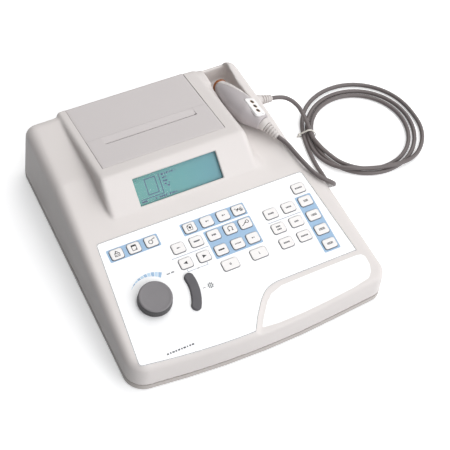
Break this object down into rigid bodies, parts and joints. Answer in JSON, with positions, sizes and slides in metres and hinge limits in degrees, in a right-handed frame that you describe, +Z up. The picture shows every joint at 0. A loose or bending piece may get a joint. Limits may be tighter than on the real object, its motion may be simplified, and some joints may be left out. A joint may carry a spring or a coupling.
{
  "type": "tympanometer",
  "caption": "Desktop ear tester with a sloping key console, level knob, display, strip printer under a hinged door, and a hand probe on a coiled lead lying in its cradle.",
  "frame": {"origin": "on the table, under the middle of the case", "axes": "+X to the user's right, +Y away from the user towards the rear, +Z up"},
  "size_m": [0.552, 0.3872, 0.1124],
  "materials": {
    "case": "fine moulded texture, off-white",
    "door": "fine moulded texture",
    "overlay": "satin printed film",
    "keys": "satin, moulded",
    "knob": "satin",
    "bar": "satin",
    "window": "clear, glossy",
    "display": "back-lit liquid crystal panel",
    "board": "solder mask",
    "black_plastic": "moulded",
    "metal": "plated",
    "pump": "cast",
    "roller": "matt",
    "gear": "natural nylon",
    "paper": "smooth thermal paper",
    "probe_light": "satin gloss",
    "probe_dark": "satin gloss",
    "label": "printed label",
    "nose": "translucent brown",
    "lead": "smooth sheath, slight sheen",
    "tie": "flexible"
  },
  "bodies": {
    "console": {"top_housing": "case", "base_tray": "case", "rubber_feet": "roller", "case_screws": "metal", "keypad_overlay": "overlay", "keypad_board": "board", "lcd_window": "window", "lcd_module": "display", "printer_frame": "black_plastic", "print_head": "metal", "feed_motor": "metal", "main_board": "board", "air_pump": "pump", "power_inlet": "black_plastic", "side_connector": "probe_light", "cable_tie": "tie", "probe_cord": "lead", "cord_coil": "lead"},
    "door": {"printer_door": "door"},
    "knob": {"level_knob": "knob"},
    "bar": {"present_bar": "bar"},
    "platen": {"platen_roller": "roller"},
    "feed_gear": {"drive_gear": "gear"},
    "roll": {"paper_roll": "paper"},
    "switch": {"power_switch": "black_plastic"},
    "probe": {"probe_shell": "probe_dark", "probe_cover": "probe_light", "probe_panel": "label", "probe_nose": "nose", "probe_strain_relief": "probe_light"},
    "key_battery_cap": {"key_battery": "keys"},
    "key_paper_cap": {"key_paper": "keys"},
    "key_marker_cap": {"key_marker": "keys"},
    "key_screen_ear_cap": {"key_screen_ear": "keys"},
    "key_tymp_minus_cap": {"key_tymp_minus": "keys"},
    "key_tymp_plus_cap": {"key_tymp_plus": "keys"},
    "key_probe_ear_cap": {"key_probe_ear": "keys"},
    "key_type_cap": {"key_type": "keys"},
    "key_pressure_cap": {"key_pressure": "keys"},
    "key_program_cap": {"key_program": "keys"},
    "key_phones_cap": {"key_phones": "keys"},
    "key_bone_cap": {"key_bone": "keys"},
    "key_left_cap": {"key_left": "keys"},
    "key_right_cap": {"key_right": "keys"},
    "key_steady_cap": {"key_steady": "keys"},
    "key_pulsed_cap": {"key_pulsed": "keys"},
    "key_auto_cap": {"key_auto": "keys"},
    "key_ear_right_cap": {"key_ear_right": "keys"},
    "key_ear_left_cap": {"key_ear_left": "keys"},
    "key_tone_cap": {"key_tone": "keys"},
    "key_test_cap": {"key_test": "keys"},
    "key_level_down_cap": {"key_level_down": "keys"},
    "key_level_up_cap": {"key_level_up": "keys"},
    "key_contra_cap": {"key_contra": "keys"},
    "key_ipsi_cap": {"key_ipsi": "keys"},
    "key_start_cap": {"key_start": "keys"},
    "key_freq_a_cap": {"key_freq_a": "keys"},
    "key_freq_b_cap": {"key_freq_b": "keys"},
    "key_freq_c_cap": {"key_freq_c": "keys"},
    "key_freq_d_cap": {"key_freq_d": "keys"}
  },
  "joints": [
    {"name": "door_hinge", "type": "hinge", "parent": "console", "child": "door", "pos_m": [0, 0.183, 0.083], "axis": [-1, 0, 0], "range_deg": [0, 85]},
    {"name": "knob_turn", "type": "hinge", "parent": "console", "child": "knob", "pos_m": [-0.1085, -0.10899, 0.06017], "axis": [0, -0.165, 0.9863], "continuous": true},
    {"name": "bar_press", "type": "slide", "parent": "console", "child": "bar", "axis": [0, -0.165, 0.9863], "range_m": [-0.0018, 0], "stiffness_N_per_m": 220, "springref_m": 0.001},
    {"name": "platen_turn", "type": "hinge", "parent": "console", "child": "platen", "pos_m": [0, 0.098, 0.0914], "axis": [1, 0, 0], "continuous": true},
    {"name": "gear_turn", "type": "hinge", "parent": "console", "child": "feed_gear", "pos_m": [0.047, 0.098, 0.0786], "axis": [1, 0, 0], "continuous": true},
    {"name": "roll_turn", "type": "hinge", "parent": "console", "child": "roll", "pos_m": [-0.0155, 0.146, 0.052], "axis": [1, 0, 0], "continuous": true},
    {"name": "switch_rock", "type": "hinge", "parent": "console", "child": "switch", "pos_m": [-0.118, 0.184, 0.0535], "axis": [1, 0, 0], "range_deg": [-16, 0]},
    {"name": "probe_lift", "type": "slide", "parent": "console", "child": "probe", "axis": [0, 0, 1], "range_m": [0, 0.04]},
    {"name": "key_battery_press", "type": "slide", "parent": "console", "child": "key_battery_cap", "axis": [0, -0.165, 0.9863], "range_m": [-0.0015, 0], "stiffness_N_per_m": 200, "springref_m": 0.001},
    {"name": "key_paper_press", "type": "slide", "parent": "console", "child": "key_paper_cap", "axis": [0, -0.165, 0.9863], "range_m": [-0.0015, 0], "stiffness_N_per_m": 200, "springref_m": 0.001},
    {"name": "key_marker_press", "type": "slide", "parent": "console", "child": "key_marker_cap", "axis": [0, -0.165, 0.9863], "range_m": [-0.0015, 0], "stiffness_N_per_m": 200, "springref_m": 0.001},
    {"name": "key_screen_ear_press", "type": "slide", "parent": "console", "child": "key_screen_ear_cap", "axis": [0, -0.165, 0.9863], "range_m": [-0.0015, 0], "stiffness_N_per_m": 200, "springref_m": 0.001},
    {"name": "key_tymp_minus_press", "type": "slide", "parent": "console", "child": "key_tymp_minus_cap", "axis": [0, -0.165, 0.9863], "range_m": [-0.0015, 0], "stiffness_N_per_m": 200, "springref_m": 0.001},
    {"name": "key_tymp_plus_press", "type": "slide", "parent": "console", "child": "key_tymp_plus_cap", "axis": [0, -0.165, 0.9863], "range_m": [-0.0015, 0], "stiffness_N_per_m": 200, "springref_m": 0.001},
    {"name": "key_probe_ear_press", "type": "slide", "parent": "console", "child": "key_probe_ear_cap", "axis": [0, -0.165, 0.9863], "range_m": [-0.0015, 0], "stiffness_N_per_m": 200, "springref_m": 0.001},
    {"name": "key_type_press", "type": "slide", "parent": "console", "child": "key_type_cap", "axis": [0, -0.165, 0.9863], "range_m": [-0.0015, 0], "stiffness_N_per_m": 200, "springref_m": 0.001},
    {"name": "key_pressure_press", "type": "slide", "parent": "console", "child": "key_pressure_cap", "axis": [0, -0.165, 0.9863], "range_m": [-0.0015, 0], "stiffness_N_per_m": 200, "springref_m": 0.001},
    {"name": "key_program_press", "type": "slide", "parent": "console", "child": "key_program_cap", "axis": [0, -0.165, 0.9863], "range_m": [-0.0015, 0], "stiffness_N_per_m": 200, "springref_m": 0.001},
    {"name": "key_phones_press", "type": "slide", "parent": "console", "child": "key_phones_cap", "axis": [0, -0.165, 0.9863], "range_m": [-0.0015, 0], "stiffness_N_per_m": 200, "springref_m": 0.001},
    {"name": "key_bone_press", "type": "slide", "parent": "console", "child": "key_bone_cap", "axis": [0, -0.165, 0.9863], "range_m": [-0.0015, 0], "stiffness_N_per_m": 200, "springref_m": 0.001},
    {"name": "key_left_press", "type": "slide", "parent": "console", "child": "key_left_cap", "axis": [0, -0.165, 0.9863], "range_m": [-0.0015, 0], "stiffness_N_per_m": 200, "springref_m": 0.001},
    {"name": "key_right_press", "type": "slide", "parent": "console", "child": "key_right_cap", "axis": [0, -0.165, 0.9863], "range_m": [-0.0015, 0], "stiffness_N_per_m": 200, "springref_m": 0.001},
    {"name": "key_steady_press", "type": "slide", "parent": "console", "child": "key_steady_cap", "axis": [0, -0.165, 0.9863], "range_m": [-0.0015, 0], "stiffness_N_per_m": 200, "springref_m": 0.001},
    {"name": "key_pulsed_press", "type": "slide", "parent": "console", "child": "key_pulsed_cap", "axis": [0, -0.165, 0.9863], "range_m": [-0.0015, 0], "stiffness_N_per_m": 200, "springref_m": 0.001},
    {"name": "key_auto_press", "type": "slide", "parent": "console", "child": "key_auto_cap", "axis": [0, -0.165, 0.9863], "range_m": [-0.0015, 0], "stiffness_N_per_m": 200, "springref_m": 0.001},
    {"name": "key_ear_right_press", "type": "slide", "parent": "console", "child": "key_ear_right_cap", "axis": [0, -0.165, 0.9863], "range_m": [-0.0015, 0], "stiffness_N_per_m": 200, "springref_m": 0.001},
    {"name": "key_ear_left_press", "type": "slide", "parent": "console", "child": "key_ear_left_cap", "axis": [0, -0.165, 0.9863], "range_m": [-0.0015, 0], "stiffness_N_per_m": 200, "springref_m": 0.001},
    {"name": "key_tone_press", "type": "slide", "parent": "console", "child": "key_tone_cap", "axis": [0, -0.165, 0.9863], "range_m": [-0.0015, 0], "stiffness_N_per_m": 200, "springref_m": 0.001},
    {"name": "key_test_press", "type": "slide", "parent": "console", "child": "key_test_cap", "axis": [0, -0.165, 0.9863], "range_m": [-0.0015, 0], "stiffness_N_per_m": 200, "springref_m": 0.001},
    {"name": "key_level_down_press", "type": "slide", "parent": "console", "child": "key_level_down_cap", "axis": [0, -0.165, 0.9863], "range_m": [-0.0015, 0], "stiffness_N_per_m": 200, "springref_m": 0.001},
    {"name": "key_level_up_press", "type": "slide", "parent": "console", "child": "key_level_up_cap", "axis": [0, -0.165, 0.9863], "range_m": [-0.0015, 0], "stiffness_N_per_m": 200, "springref_m": 0.001},
    {"name": "key_contra_press", "type": "slide", "parent": "console", "child": "key_contra_cap", "axis": [0, -0.165, 0.9863], "range_m": [-0.0015, 0], "stiffness_N_per_m": 200, "springref_m": 0.001},
    {"name": "key_ipsi_press", "type": "slide", "parent": "console", "child": "key_ipsi_cap", "axis": [0, -0.165, 0.9863], "range_m": [-0.0015, 0], "stiffness_N_per_m": 200, "springref_m": 0.001},
    {"name": "key_start_press", "type": "slide", "parent": "console", "child": "key_start_cap", "axis": [0, -0.165, 0.9863], "range_m": [-0.0015, 0], "stiffness_N_per_m": 200, "springref_m": 0.001},
    {"name": "key_freq_a_press", "type": "slide", "parent": "console", "child": "key_freq_a_cap", "axis": [0, -0.165, 0.9863], "range_m": [-0.0015, 0], "stiffness_N_per_m": 200, "springref_m": 0.001},
    {"name": "key_freq_b_press", "type": "slide", "parent": "console", "child": "key_freq_b_cap", "axis": [0, -0.165, 0.9863], "range_m": [-0.0015, 0], "stiffness_N_per_m": 200, "springref_m": 0.001},
    {"name": "key_freq_c_press", "type": "slide", "parent": "console", "child": "key_freq_c_cap", "axis": [0, -0.165, 0.9863], "range_m": [-0.0015, 0], "stiffness_N_per_m": 200, "springref_m": 0.001},
    {"name": "key_freq_d_press", "type": "slide", "parent": "console", "child": "key_freq_d_cap", "axis": [0, -0.165, 0.9863], "range_m": [-0.0015, 0], "stiffness_N_per_m": 200, "springref_m": 0.001}
  ],
  "couplings": [
    {"joint": "gear_turn", "follows": "platen_turn", "ratio": -1.6667}
  ]
}
